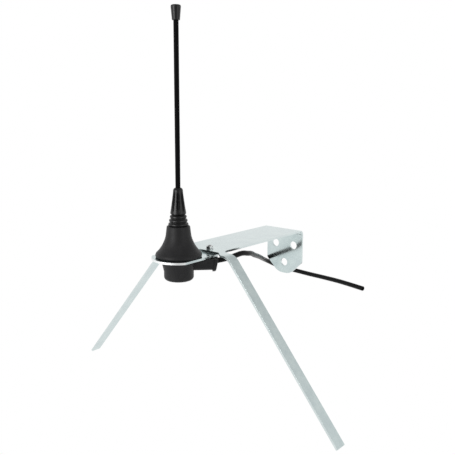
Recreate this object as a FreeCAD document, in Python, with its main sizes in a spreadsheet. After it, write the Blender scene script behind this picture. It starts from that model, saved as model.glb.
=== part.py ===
"""Quarter-wave ground-plane radio antenna on a folded wall bracket, as a parametric document.

The row frame has its origin at the centre of the three wall holes, on the bracket's wall face.
+Y points into the wall and +Z up. The whip stands on an upright axis out in front of the wall.
Pieces on that axis are drawn about it, with z measured from the top face of the bracket's seat.
Lengths are in millimetres and angles in degrees.
"""
import FreeCAD, Part
import math
import os
import re
import Sketcher

SIZES = [
    # Folded sheet bracket
    ("sheet", 1.6, "thickness of the steel sheet"),
    ("plate_width", 37.2, "width of the top plate and of the wall flange"),
    ("reach", 135.0, "wall face to whip axis"),
    ("plate_rise", 20.3, "centre of the wall holes to the top face of the plate"),
    ("flange_drop", 21.0, "centre of the wall holes to the flange's lower edge"),
    ("flange_flat", 13.2, "flange's lower edge between its bevelled corners"),
    ("flange_round", 12.0, "rounding of the bevels' lower ends"),
    ("flange_soft", 2.0, "rounding of the bevels' upper ends"),
    ("fold_radius", 3.0, "inside radius of the fold between plate and flange"),
    ("hole_circle", 22.0, "diameter of the circle through the wall holes"),
    ("wall_hole", 7.0, "diameter of a wall hole"),
    ("seat_drop", 1.7, "step from the plate down to the seat"),
    ("step_round", 0.8, "rounding of the lower edge behind the step"),
    ("seat_margin", 2.7, "round front of the seat beyond the bell's rim"),
    ("seat_trim", 1.8, "how far the seat's straight sides lie inside the plate's"),
    ("step_gap", 5.6, "bell's rim to the face of the step"),
    # Two bent arms that form the ground plane
    ("arm_width", 8.75, "width of an arm"),
    ("arm_lead", 5.6, "how far an arm's front edge lies ahead of the step"),
    ("arm_sweep", 1.3, "forward sweep of an arm in plan"),
    ("arm_out", 31.9, "middle of the plate to an arm's bend"),
    ("arm_length", 147.8, "bend to tip of an arm"),
    ("arm_droop", 49.5, "slope of an arm below level"),
    ("arm_bend", 9.0, "inside radius of an arm's bend"),
    ("arm_lap", 1.0, "flat part of an arm that lies on its root"),
    ("arm_fillet", 7.0, "rounding of the corner behind an arm"),
    # Bell-shaped base
    ("bell_height", 22.7, "seat to the bell's shoulder"),
    ("rim_radius", 17.0, "widest radius of the bell"),
    ("rim_height", 0.9, "height of the widest ring"),
    ("rim_tuck", 0.7, "how far the rim draws in at the seat"),
    ("rim_curve", 2.2, "radius of the rim's lower curve"),
    ("crown_curve", 4.1, "radius of the rim's upper curve"),
    ("flare_radius", 15.2, "bell radius where the flare begins"),
    ("flare_height", 4.1, "height where the flare begins"),
    ("flare_curve", 26.0, "radius of the hollow flare"),
    ("neck_radius", 9.3, "bell radius where the flare ends"),
    ("neck_height", 15.3, "height where the flare ends"),
    ("shoulder_radius", 8.45, "bell radius at the shoulder"),
    ("shoulder_round", 0.8, "rounding of the shoulder"),
    # Ringed and fluted boot
    ("boot_length", 27.5, "length of the boot"),
    ("boot_foot", 7.55, "boot radius over the lowest ring"),
    ("boot_waist", 5.75, "boot radius above the top ring"),
    ("boot_tip", 3.55, "boot radius at its upper end"),
    ("boot_round", 1.1, "rounding of the boot's upper end"),
    ("ring_pitch", 2.75, "pitch of the boot's three rings"),
    ("ring_depth", 0.55, "depth of the grooves between rings"),
    ("flute_length", 15.0, "length of a flute"),
    ("flute_width", 2.4, "width of a flute"),
    ("flute_depth", 0.8, "depth of a flute"),
    ("flute_count", 8, "number of flutes"),
    # Whip
    ("whip_top", 173.7, "seat to the tip of the whip"),
    ("core_radius", 1.0, "radius of the spring steel core"),
    ("sleeve_radius", 1.78, "outer radius of the whip's sleeve"),
    ("cap_length", 9.9, "length of the tip cap"),
    ("cap_radius", 3.5, "cap radius near its top"),
    ("cap_foot", 2.75, "cap radius at its lower end"),
    ("cap_round", 1.1, "rounding of the cap's top"),
    ("cap_roof", 2.6, "thickness of the cap over the whip's end"),
    ("ferrule_radius", 3.4, "radius of the crimped ferrule"),
    ("ferrule_length", 22.5, "length of the ferrule"),
    ("crimp_depth", 15.0, "length of core held in the ferrule"),
    # Feed-through under the bell
    ("bush_radius", 5.0, "radius of the threaded bush"),
    ("bush_bore", 3.0, "bore radius of the bush"),
    ("bush_head", 9.0, "radius of the bush's head"),
    ("bush_head_height", 2.5, "height of the bush's head"),
    ("bush_tail", 0.5, "bush standing out below its nut"),
    ("insulator_top", 9.5, "seat to the top of the insulator"),
    ("insulator_lip", 4.0, "radius of the insulator's lower lip"),
    ("lip_height", 0.6, "height of that lip"),
    ("pin_radius", 1.0, "radius of the feed pin"),
    ("pin_collar", 2.4, "radius of the pin's collar"),
    ("collar_height", 1.0, "height of that collar"),
    ("pin_socket", 1.5, "length of pin held in the ferrule"),
    ("pin_tail", 3.0, "pin standing out below the insulator"),
    ("seal_inner", 11.0, "inner radius of the seal's groove"),
    ("seal_outer", 14.2, "outer radius of the seal's groove"),
    ("seal_height", 1.2, "height of the seal"),
    ("washer_radius", 6.9, "outer radius of the lock washer"),
    ("washer_height", 0.8, "thickness of the lock washer"),
    ("tag_radius", 6.8, "ring radius of the earth tag"),
    ("tag_height", 0.5, "thickness of the earth tag"),
    ("tag_reach", 9.2, "whip axis to the end of the tag's tail"),
    ("tag_width", 3.0, "width of the tag's tail"),
    ("nut_flats", 14.0, "clamp nut across flats"),
    ("nut_height", 2.8, "thickness of the clamp nut"),
    # Hub cover with its cable outlet
    ("hub_top", 13.0, "hub radius under the seat"),
    ("hub_radius", 10.85, "hub radius below its collar"),
    ("hub_collar", 9.1, "height of the tapered collar"),
    ("hub_height", 15.6, "seat's underside to the hub's bottom"),
    ("hub_round", 2.6, "rounding of the hub's bottom edge"),
    ("hub_wall", 1.55, "wall of the hub"),
    ("outlet_turn", 46.0, "turn of the outlet from +X towards the wall"),
    ("outlet_width", 8.0, "width of the outlet"),
    ("outlet_depth", 8.6, "depth of the outlet"),
    ("outlet_round", 2.6, "rounding of the outlet's lower edges"),
    ("outlet_wall", 1.0, "wall of the outlet"),
    ("outlet_reach", 28.6, "whip axis to the outlet's upper end"),
    ("outlet_lean", 11.0, "lean of the outlet's end"),
    ("lip_width", 2.3, "width of the bead round the outlet's end"),
    ("lip_proud", 1.1, "how far that bead stands proud"),
    ("lip_soft", 1.3, "rounding of that bead"),
    # Cable
    ("cable_radius", 1.95, "radius of the cable's jacket"),
    ("cable_drop", 1.9, "seat's underside to the cable's centre at the outlet"),
    ("tail_slope", 10.0, "slope of the cable inside the outlet"),
    ("first_run", 7.2, "straight run of the free cable out of the outlet"),
    ("bared_end", 15.0, "outlet's reach less the jacket that lies inside it"),
    ("core_length", 11.4, "bared insulation inside the hub"),
    ("core_thick", 0.75, "radius of the cable's inner insulation"),
    ("wire_thick", 0.35, "radius of the cable's inner wire"),
    # Earth screw behind the step
    ("screw_side", 5.4, "middle of the plate to the screw"),
    ("screw_back", 27.5, "whip axis to the screw"),
    ("screw_radius", 1.3, "radius of the screw"),
    ("screw_head", 2.5, "radius of its head"),
    ("head_height", 1.5, "height of its head"),
    ("screw_end", 0.7, "screw standing out above its nut"),
    ("small_nut_flats", 4.9, "screw's nut across flats"),
    ("small_nut_height", 2.0, "thickness of that nut"),
    ("small_washer", 2.9, "radius of the screw's washer"),
    ("small_washer_height", 0.4, "thickness of that washer"),
    # Fits
    ("fit", 0.05, "radial clearance of a close fit"),
    ("slack", 0.2, "radial clearance of a loose fit"),
    ("seat_clear", 0.1, "clearance between faces that only face each other"),
]

# The free cable lies along these points, (right, back, up) from the whip axis at the plate's top face.
# Its first two points, straight out of the outlet, are worked out from the outlet.
CABLE_ROUTE = [
    (28.0, 32.4, -2.6),
    (29.0, 39.8, -1.9),
    (27.9, 47.2, -2.9),
    (24.2, 54.7, -5.1),
    (19.2, 64.0, -8.8),
    (12.6, 75.7, -12.7),
    (4.8, 89.1, -17.3),
    (-4.0, 103.6, -22.2),
    (-13.4, 118.4, -27.3),
    (-21.6, 131.0, -31.6),
    (-23.6, 141.4, -36.0),
    (-20.8, 151.0, -41.3),
    (-13.8, 158.2, -44.6),
    (-4.2, 161.8, -46.3),
    (8.2, 162.2, -47.0),
    (26.8, 158.8, -46.3),
    (49.2, 153.3, -45.3),
    (71.5, 147.9, -45.6),
]
ARC_SHARE = 0.45  # share of the shorter run that an arc of the cable takes up

RING_COUNT = 3
WALL_HOLES = 3

X_AXIS = FreeCAD.Vector(1, 0, 0)
Y_AXIS = FreeCAD.Vector(0, 1, 0)
Z_AXIS = FreeCAD.Vector(0, 0, 1)

doc = FreeCAD.newDocument("RadioAntenna")
sheet = doc.addObject("Spreadsheet::Sheet", "Sizes")
for row, (alias, value, note) in enumerate(SIZES, start=1):
    sheet.set(f"A{row}", alias)
    sheet.set(f"B{row}", str(value))
    sheet.set(f"C{row}", note)
    sheet.setAlias(f"B{row}", alias)
doc.recompute()

ALIASES = re.compile(r"\b(" + "|".join(alias for alias, value, note in SIZES) + r")\b")
pieces = []


def bound(expression):
    """Return the expression with each size's name written as a cell of the sheet."""
    return ALIASES.sub(r"Sizes.\1", expression)


def value_of(expression):
    """Return an expression's present value."""
    return float(sheet.evalExpression(bound(expression)))


# Levels and places that several pieces share, from the seat's top face unless they say otherwise
HALF_PLATE = "plate_width / 2"
SEAT_TOP = "plate_rise - seat_drop"
SEAT_FRONT = "rim_radius + seat_margin"
SEAT_HALF = f"{HALF_PLATE} - seat_trim"
STEP_FACE = "rim_radius + step_gap"
FLANGE_BEVEL = f"{HALF_PLATE} - flange_flat / 2"
ARM_HALF = "arm_width / 2 / cos(arm_sweep)"
ARM_BACK = f"{STEP_FACE} - arm_lead + {ARM_HALF} + ({HALF_PLATE}) * tan(arm_sweep)"
BOOT_TOP = "bell_height + boot_length"
RINGS_TOP = f"bell_height + {RING_COUNT} * ring_pitch"
CORE_TOP = "whip_top - cap_roof"
FERRULE_FOOT = "insulator_top + collar_height"
FERRULE_TOP = f"{FERRULE_FOOT} + ferrule_length"
WASHER_FOOT = "-sheet - washer_height"
TAG_FOOT = f"{WASHER_FOOT} - tag_height"
NUT_FOOT = f"{TAG_FOOT} - nut_height"
BUSH_FOOT = f"{NUT_FOOT} - bush_tail"
LIP_FOOT = f"{BUSH_FOOT} - lip_height"
PIN_FOOT = f"{LIP_FOOT} - pin_tail"
CABLE_LEVEL = "-sheet - cable_drop"
OUTLET_TOP = "-sheet - seat_clear"
OUTLET_FOOT = "-sheet - outlet_depth"


def origin_feature(body, role):
    """Return the plane or axis of a body's origin that has the role."""
    return next(feature for feature in body.Origin.OriginFeatures if feature.Role == role)


def bind(target, **expressions):
    """Bind properties of an object to expressions of the sheet."""
    for name, expression in expressions.items():
        target.setExpression(name, bound(expression))


def place(target, x="0", y="0", z="0", turn=None):
    """Bind an object's place, with an optional turn about the upright axis."""
    for axis, expression in zip("xyz", (x, y, z)):
        target.setExpression(f"Placement.Base.{axis}", bound(expression))
    if turn is not None:
        target.Placement = FreeCAD.Placement(target.Placement.Base, FreeCAD.Rotation(Z_AXIS, 1))
        target.setExpression("Placement.Rotation.Angle", bound(turn))


def on_whip_axis(target, turn=None):
    """Stand an object on the whip axis, with its z zero at the seat's top face."""
    place(target, y="-reach", z=SEAT_TOP, turn=turn)


def finished(target, label):
    """Name a finished sub-part and keep it for writing."""
    target.Label = label
    pieces.append(target)
    return target


def new_body(label):
    """Return an empty body for one sub-part."""
    return finished(doc.addObject("PartDesign::Body", "Body_" + label), label)


def new_sketch(body, role, depth=None):
    """Return a sketch on one of a body's own planes, with an optional bound offset along its normal."""
    sketch = body.newObject("Sketcher::SketchObject", "Sketch")
    sketch.AttachmentSupport = [(origin_feature(body, role), "")]
    sketch.MapMode = "FlatFace"
    if depth is not None:
        sketch.setExpression("AttachmentOffset.Base.z", bound(depth))
    return sketch


def fix_point(sketch, geometry, position, corner):
    """Fix one end of a sketch line at a corner given as two expressions."""
    for axis, kind, expression in zip((-2, -1), ("DistanceX", "DistanceY"), corner):
        if expression == "0":
            sketch.addConstraint(Sketcher.Constraint("PointOnObject", geometry, position, axis))
            continue
        constraint = Sketcher.Constraint(kind, -1, 1, geometry, position, value_of(expression))
        index = sketch.addConstraint(constraint)
        sketch.setExpression(f"Constraints[{index}]", bound(expression))


def arc_between(start, end, radius):
    """Return the short arc from start to end; a positive radius turns left and a negative one right."""
    chord = end - start
    middle = (start + end) * 0.5
    height = math.sqrt(max(radius ** 2 - (chord.Length / 2) ** 2, 0.0))
    left = FreeCAD.Vector(-chord.y, chord.x, 0).normalize()
    centre = middle + left * math.copysign(height, radius)
    first, last = (start, end) if radius > 0 else (end, start)
    angles = [math.atan2(point.y - centre.y, point.x - centre.x) for point in (first, last)]
    return Part.ArcOfCircle(Part.Circle(centre, FreeCAD.Vector(0, 0, 1), abs(radius)), *angles)


def draw_outline(sketch, corners):
    """Draw a closed outline through corners.

    A corner is (x, y), or (x, y, side, radius) where an arc leaves it: side 1 turns left and -1 right.
    """
    points = [FreeCAD.Vector(value_of(corner[0]), value_of(corner[1]), 0) for corner in corners]
    ends = []
    for index, corner in enumerate(corners):
        start, end = points[index], points[(index + 1) % len(points)]
        if len(corner) == 2:
            geometry = sketch.addGeometry(Part.LineSegment(start, end), False)
            ends.append((geometry, 1, 2))
            continue
        side, radius = corner[2:]
        geometry = sketch.addGeometry(arc_between(start, end, side * value_of(radius)), False)
        ends.append((geometry, 1, 2) if side > 0 else (geometry, 2, 1))
    for index, corner in enumerate(corners):
        geometry, start, _ = ends[index]
        before, _, before_end = ends[index - 1]
        sketch.addConstraint(Sketcher.Constraint("Coincident", before, before_end, geometry, start))
        fix_point(sketch, geometry, start, corner[:2])
        if len(corner) > 2:
            number = sketch.addConstraint(Sketcher.Constraint("Radius", geometry, value_of(corner[3])))
            sketch.setExpression(f"Constraints[{number}]", bound(corner[3]))


def draw_circle(sketch, x, y, radius):
    """Draw a circle with its centre and radius bound."""
    centre = FreeCAD.Vector(value_of(x), value_of(y), 0)
    circle = Part.Circle(centre, FreeCAD.Vector(0, 0, 1), value_of(radius))
    geometry = sketch.addGeometry(circle, False)
    fix_point(sketch, geometry, 3, (x, y))
    index = sketch.addConstraint(Sketcher.Constraint("Radius", geometry, value_of(radius)))
    sketch.setExpression(f"Constraints[{index}]", bound(radius))


def pad(body, sketch, length, both_ways=False, reverse=False):
    """Add the sketch's outline as a plate of the given length."""
    feature = body.newObject("PartDesign::Pad", "Pad")
    feature.Profile = sketch
    feature.Midplane = both_ways
    feature.Reversed = reverse
    bind(feature, Length=length)
    doc.recompute()
    return feature


def cut(body, sketch, length, both_ways=False, reverse=False):
    """Cut the sketch's outline away, and see that the solid did lose volume."""
    before = body.Shape.Volume
    feature = body.newObject("PartDesign::Pocket", "Pocket")
    feature.Profile = sketch
    feature.Midplane = both_ways
    feature.Reversed = reverse
    bind(feature, Length=length)
    doc.recompute()
    if body.Shape.Volume >= before:
        raise RuntimeError(f"a cut in {body.Label} removed nothing")
    return feature


def turned(label, corners):
    """Return a body turned about the whip axis from a half outline of (radius, height) corners."""
    body = new_body(label)
    sketch = new_sketch(body, "XZ_Plane")
    draw_outline(sketch, corners)
    feature = body.newObject("PartDesign::Revolution", "Revolution")
    feature.Profile = sketch
    feature.ReferenceAxis = (sketch, ["V_Axis"])
    feature.Angle = 360
    doc.recompute()
    return body


def ring(label, inner, outer, low, high):
    """Return a turned ring of plain rectangular section."""
    return turned(label, [(inner, low), (outer, low), (outer, high), (inner, high)])


def round_edges(body, kind, size, chosen):
    """Round or bevel the edges of a body's present solid for which chosen(edge) is true."""
    base = body.Tip
    names = [f"Edge{i}" for i, edge in enumerate(base.Shape.Edges, start=1) if chosen(edge)]
    if not names:
        raise RuntimeError(f"no edge to work on in {body.Label}")
    feature = body.newObject(f"PartDesign::{kind}", kind)
    feature.Base = (base, names)
    bind(feature, **{"Radius" if kind == "Fillet" else "Size": size})
    doc.recompute()
    return feature


def runs_along(edge, axis):
    """Tell whether an edge is straight and lies along a unit vector."""
    if not isinstance(edge.Curve, Part.Line):
        return False
    return abs(abs(edge.Curve.Direction.dot(axis)) - 1) < 1e-6


def near(number, target):
    """Tell whether two lengths agree."""
    return abs(number - target) < 1e-4


def make_bracket():
    """Make the one-piece sheet bracket: flange, plate, step, round seat and two bent arms."""
    body = new_body("bracket")
    fold = "fold_radius + sheet"
    low = "plate_rise - sheet"
    step = f"{STEP_FACE} - reach"
    strip = new_sketch(body, "YZ_Plane")
    draw_outline(strip, [
        ("0", "-flange_drop"),
        ("0", f"plate_rise - ({fold})", 1, fold),
        (f"-({fold})", "plate_rise"),
        (step, "plate_rise"),
        (step, low),
        (f"-({fold})", low, -1, "fold_radius"),
        ("-sheet", f"plate_rise - ({fold})"),
        ("-sheet", "-flange_drop"),
    ])
    pad(body, strip, "plate_width", both_ways=True)

    step_back = f"{step} + sheet"
    seat_turn = f"-reach - sqrt(({SEAT_FRONT})^2 - ({SEAT_HALF})^2)"
    seat = new_sketch(body, "XY_Plane", SEAT_TOP)
    draw_outline(seat, [
        (SEAT_HALF, seat_turn),
        (SEAT_HALF, step_back),
        (f"-({SEAT_HALF})", step_back),
        (f"-({SEAT_HALF})", seat_turn, 1, SEAT_FRONT),
    ])
    pad(body, seat, "sheet", reverse=True)
    riser = new_sketch(body, "XY_Plane", "plate_rise")
    draw_outline(riser, [
        (SEAT_HALF, step),
        (SEAT_HALF, step_back),
        (f"-({SEAT_HALF})", step_back),
        (f"-({SEAT_HALF})", step),
    ])
    pad(body, riser, "seat_drop", reverse=True)

    bend = "arm_bend + sheet"
    bend_start = f"arm_out - ({bend}) * tan(arm_droop / 2)"
    arm_start = f"{bend_start} - 2 * arm_lap"
    corner_x = f"({arm_start}) * cos(arm_sweep) - arm_width / 2 * sin(arm_sweep)"
    root_end = f"({arm_start} + arm_lap) * cos(arm_sweep)"
    front, back = f"{ARM_BACK} - {ARM_HALF} - reach", f"{ARM_BACK} + {ARM_HALF} - reach"
    root = new_sketch(body, "XY_Plane", "plate_rise")
    draw_outline(root, [
        ("0", step),
        (HALF_PLATE, step),
        (corner_x, f"{front} - ({corner_x}) * tan(arm_sweep)"),
        (root_end, f"{front} - ({root_end}) * tan(arm_sweep)"),
        (root_end, f"{back} - ({root_end}) * tan(arm_sweep)"),
        ("0", back),
    ])
    right_root = pad(body, root, "sheet", reverse=True)

    bend_level = f"plate_rise - ({bend})"
    tip_x = "arm_out + arm_length * cos(arm_droop)"
    tip_z = "plate_rise - arm_length * sin(arm_droop)"
    arm = new_sketch(body, "XZ_Plane", f"reach - ({ARM_BACK})")
    arm.AttachmentOffset = FreeCAD.Placement(arm.AttachmentOffset.Base, FreeCAD.Rotation(-Y_AXIS, 1))
    arm.setExpression("AttachmentOffset.Rotation.Angle", bound("arm_sweep"))
    draw_outline(arm, [
        (arm_start, "plate_rise"),
        (arm_start, low),
        (bend_start, low, -1, "arm_bend"),
        (f"{bend_start} + arm_bend * sin(arm_droop)", f"{bend_level} + arm_bend * cos(arm_droop)"),
        (f"{tip_x} - sheet * sin(arm_droop)", f"{tip_z} - sheet * cos(arm_droop)"),
        (tip_x, tip_z),
        (f"{bend_start} + ({bend}) * sin(arm_droop)", f"{bend_level} + ({bend}) * cos(arm_droop)", 1, bend),
        (bend_start, "plate_rise"),
    ])
    right_arm = pad(body, arm, "arm_width", both_ways=True)
    both_arms = body.newObject("PartDesign::Mirrored", "BothArms")
    both_arms.Originals = [right_root, right_arm]
    both_arms.MirrorPlane = (origin_feature(body, "YZ_Plane"), [""])
    body.Tip = both_arms
    doc.recompute()

    def behind_arm(edge):
        centre = edge.CenterOfMass
        return (runs_along(edge, Z_AXIS) and near(abs(centre.x), value_of(HALF_PLATE))
                and near(centre.y, value_of(f"{back} - ({HALF_PLATE}) * tan(arm_sweep)")))

    def flange_corner(edge):
        centre = edge.CenterOfMass
        return runs_along(edge, Y_AXIS) and near(centre.z, -value_of("flange_drop"))

    def bevel_top(edge):
        centre = edge.CenterOfMass
        return runs_along(edge, Y_AXIS) and near(centre.z, value_of(f"{FLANGE_BEVEL} - flange_drop"))

    def under_step(edge):
        centre = edge.CenterOfMass
        return (runs_along(edge, X_AXIS) and near(centre.y, value_of(step_back))
                and near(centre.z, value_of(f"{SEAT_TOP} - sheet")))

    round_edges(body, "Fillet", "step_round", under_step)
    round_edges(body, "Fillet", "arm_fillet", behind_arm)
    round_edges(body, "Chamfer", FLANGE_BEVEL, flange_corner)
    round_edges(body, "Fillet", "flange_round", flange_corner)
    round_edges(body, "Fillet", "flange_soft", bevel_top)

    wall_hole = new_sketch(body, "XZ_Plane")
    draw_circle(wall_hole, "0", "-hole_circle / 2", "wall_hole / 2")
    first_hole = cut(body, wall_hole, "sheet", reverse=True)
    holes = body.newObject("PartDesign::PolarPattern", "WallHoles")
    holes.Originals = [first_hole]
    holes.Axis = (origin_feature(body, "Y_Axis"), [""])
    holes.Angle = 360
    holes.Occurrences = WALL_HOLES
    body.Tip = holes
    doc.recompute()

    seat_hole = new_sketch(body, "XY_Plane", SEAT_TOP)
    draw_circle(seat_hole, "0", "-reach", "bush_radius + slack")
    cut(body, seat_hole, "sheet")
    screw_hole = new_sketch(body, "XY_Plane", "plate_rise")
    draw_circle(screw_hole, "screw_side", "screw_back - reach", "screw_radius + slack")
    cut(body, screw_hole, "sheet")


def make_bell():
    """Make the bell: curved outside, and pockets below for the bush, the seal and the feed."""
    pocket = "bush_head + seat_clear"
    pocket_top = "bush_head_height + seat_clear"
    bore = "bush_bore + fit"
    chamber = "ferrule_radius + slack"
    bell = turned("base_bell", [
        ("rim_radius - rim_tuck", "0", 1, "rim_curve"),
        ("rim_radius", "rim_height", 1, "crown_curve"),
        ("flare_radius", "flare_height", -1, "flare_curve"),
        ("neck_radius", "neck_height"),
        ("shoulder_radius", "bell_height - shoulder_round", 1, "shoulder_round"),
        ("shoulder_radius - shoulder_round", "bell_height"),
        (chamber, "bell_height"),
        (chamber, "insulator_top"),
        (bore, "insulator_top"),
        (bore, pocket_top),
        (pocket, pocket_top),
        (pocket, "0"),
        ("seal_inner", "0"),
        ("seal_inner", "seal_height"),
        ("seal_outer", "seal_height"),
        ("seal_outer", "0"),
    ])
    on_whip_axis(bell)
    seal = ring("base_seal", "seal_inner + seat_clear", "seal_outer - seat_clear", "0", "seal_height")
    on_whip_axis(seal)


def make_boot():
    """Make the rubber boot: three rings below, shallow upright flutes above."""
    taper = f"(boot_foot - boot_waist) / ({RING_COUNT} * ring_pitch)"
    ring_round = "(ring_pitch^2 / 4 + ring_depth^2) / (2 * ring_depth)"
    rings = []
    for index in range(RING_COUNT):
        groove = f"boot_foot - ring_depth - {index} * ring_pitch * {taper}"
        rings.append((groove, f"bell_height + {index} * ring_pitch", 1, ring_round))
    rings.append(("boot_waist - ring_depth", RINGS_TOP))
    boot = turned("whip_boot", rings + [
        ("boot_waist", f"{RINGS_TOP} + ring_depth"),
        ("boot_tip", f"{BOOT_TOP} - boot_round", 1, "boot_round"),
        ("boot_tip - boot_round", BOOT_TOP),
        ("sleeve_radius + fit", BOOT_TOP),
        ("sleeve_radius + fit", FERRULE_TOP),
        ("ferrule_radius + fit", FERRULE_TOP),
        ("ferrule_radius + fit", "bell_height"),
    ])
    sweep_radius = "(flute_length^2 / 4 + flute_depth^2) / (2 * flute_depth)"
    groove_radius = "(flute_width^2 / 4 + flute_depth^2) / (2 * flute_depth)"
    lean = f"atan((boot_waist - boot_tip) / ({BOOT_TOP} - ({RINGS_TOP})))"
    out = f"({sweep_radius} - flute_depth)"
    flute = boot.newObject("PartDesign::SubtractiveTorus", "Flute")
    bind(flute, Radius1=f"{sweep_radius} - {groove_radius}", Radius2=groove_radius)
    flute.Placement = FreeCAD.Placement(FreeCAD.Vector(), FreeCAD.Rotation(X_AXIS, 90))
    place(flute, f"(boot_waist + boot_tip) / 2 + {out} * cos({lean})", "0",
          f"({RINGS_TOP} + {BOOT_TOP}) / 2 + {out} * sin({lean})")
    flutes = boot.newObject("PartDesign::PolarPattern", "Flutes")
    flutes.Originals = [flute]
    flutes.Axis = (origin_feature(boot, "Z_Axis"), [""])
    flutes.Angle = 360
    bind(flutes, Occurrences="flute_count")
    boot.Tip = flutes
    on_whip_axis(boot)


def make_whip():
    """Make the whip's core, sleeve, tip cap and crimped ferrule."""
    core_foot = f"{FERRULE_TOP} - crimp_depth"
    core = turned("whip_core", [
        ("0", core_foot),
        ("core_radius", core_foot),
        ("core_radius", CORE_TOP),
        ("0", CORE_TOP),
    ])
    sleeve = ring("whip_sleeve", "core_radius + fit", "sleeve_radius", FERRULE_TOP, CORE_TOP)
    cap_low = "whip_top - cap_length"
    cap = turned("tip_cap", [
        ("sleeve_radius + fit", cap_low),
        ("cap_foot", cap_low),
        ("cap_radius", "whip_top - cap_round", 1, "cap_round"),
        ("cap_radius - cap_round", "whip_top"),
        ("0", "whip_top"),
        ("0", CORE_TOP),
        ("sleeve_radius + fit", CORE_TOP),
    ])
    ferrule = turned("whip_ferrule", [
        ("pin_radius + fit", FERRULE_FOOT),
        ("ferrule_radius", FERRULE_FOOT),
        ("ferrule_radius", FERRULE_TOP),
        ("core_radius + fit", FERRULE_TOP),
        ("core_radius + fit", core_foot),
        ("0", core_foot),
        ("0", f"{FERRULE_FOOT} + pin_socket"),
        ("pin_radius + fit", f"{FERRULE_FOOT} + pin_socket"),
    ])
    for piece in (core, sleeve, cap, ferrule):
        on_whip_axis(piece)


def make_feed():
    """Make the feed-through: threaded bush, insulator, feed pin and what clamps the bush to the seat."""
    bush = turned("mounting_bush", [
        ("bush_bore", BUSH_FOOT),
        ("bush_radius", BUSH_FOOT),
        ("bush_radius", "0"),
        ("bush_head", "0"),
        ("bush_head", "bush_head_height"),
        ("bush_bore", "bush_head_height"),
    ])
    insulator = turned("feed_insulator", [
        ("pin_radius + fit", LIP_FOOT),
        ("insulator_lip", LIP_FOOT),
        ("insulator_lip", BUSH_FOOT),
        ("bush_bore - fit", BUSH_FOOT),
        ("bush_bore - fit", "insulator_top"),
        ("pin_radius + fit", "insulator_top"),
    ])
    pin = turned("feed_pin", [
        ("0", PIN_FOOT),
        ("pin_radius", PIN_FOOT),
        ("pin_radius", "insulator_top"),
        ("pin_collar", "insulator_top"),
        ("pin_collar", FERRULE_FOOT),
        ("pin_radius", FERRULE_FOOT),
        ("pin_radius", f"{FERRULE_FOOT} + pin_socket"),
        ("0", f"{FERRULE_FOOT} + pin_socket"),
    ])
    washer = ring("lock_washer", "bush_radius + seat_clear", "washer_radius", WASHER_FOOT, "-sheet")
    for piece in (bush, insulator, pin, washer):
        on_whip_axis(piece)
    make_earth_tag()
    hex_nut("clamp_nut", "nut_flats", "bush_radius + fit", "nut_height", "0", "-reach",
            f"{SEAT_TOP} + {NUT_FOOT}", "outlet_turn")


def make_earth_tag():
    """Make the flat ring tag that earths the cable's braid, with its tail towards the outlet."""
    body = new_body("earth_tag")
    disc = new_sketch(body, "XY_Plane", TAG_FOOT)
    draw_circle(disc, "0", "0", "tag_radius")
    pad(body, disc, "tag_height")
    tail = new_sketch(body, "XY_Plane", TAG_FOOT)
    draw_outline(tail, [
        ("bush_radius", "-tag_width / 2"),
        ("tag_reach", "-tag_width / 2"),
        ("tag_reach", "tag_width / 2"),
        ("bush_radius", "tag_width / 2"),
    ])
    pad(body, tail, "tag_height")
    hole = new_sketch(body, "XY_Plane", WASHER_FOOT)
    draw_circle(hole, "0", "0", "bush_radius + seat_clear")
    cut(body, hole, "tag_height")
    on_whip_axis(body, turn="outlet_turn")


def hex_corner(flats, index):
    """Return corner number index of a hexagon with a flat facing +X, as two expressions."""
    return (f"({flats}) / sqrt(3) * cos({30 + 60 * index})", f"({flats}) / sqrt(3) * sin({30 + 60 * index})")


def hex_nut(label, flats, bore, height, x, y, z, turn):
    """Make a hexagon nut with its lower face at z."""
    body = new_body(label)
    outline = new_sketch(body, "XY_Plane")
    draw_outline(outline, [hex_corner(flats, index) for index in range(6)])
    pad(body, outline, height)
    hole = new_sketch(body, "XY_Plane", height)
    draw_circle(hole, "0", "0", bore)
    cut(body, hole, height)
    place(body, x, y, z, turn)


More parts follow.
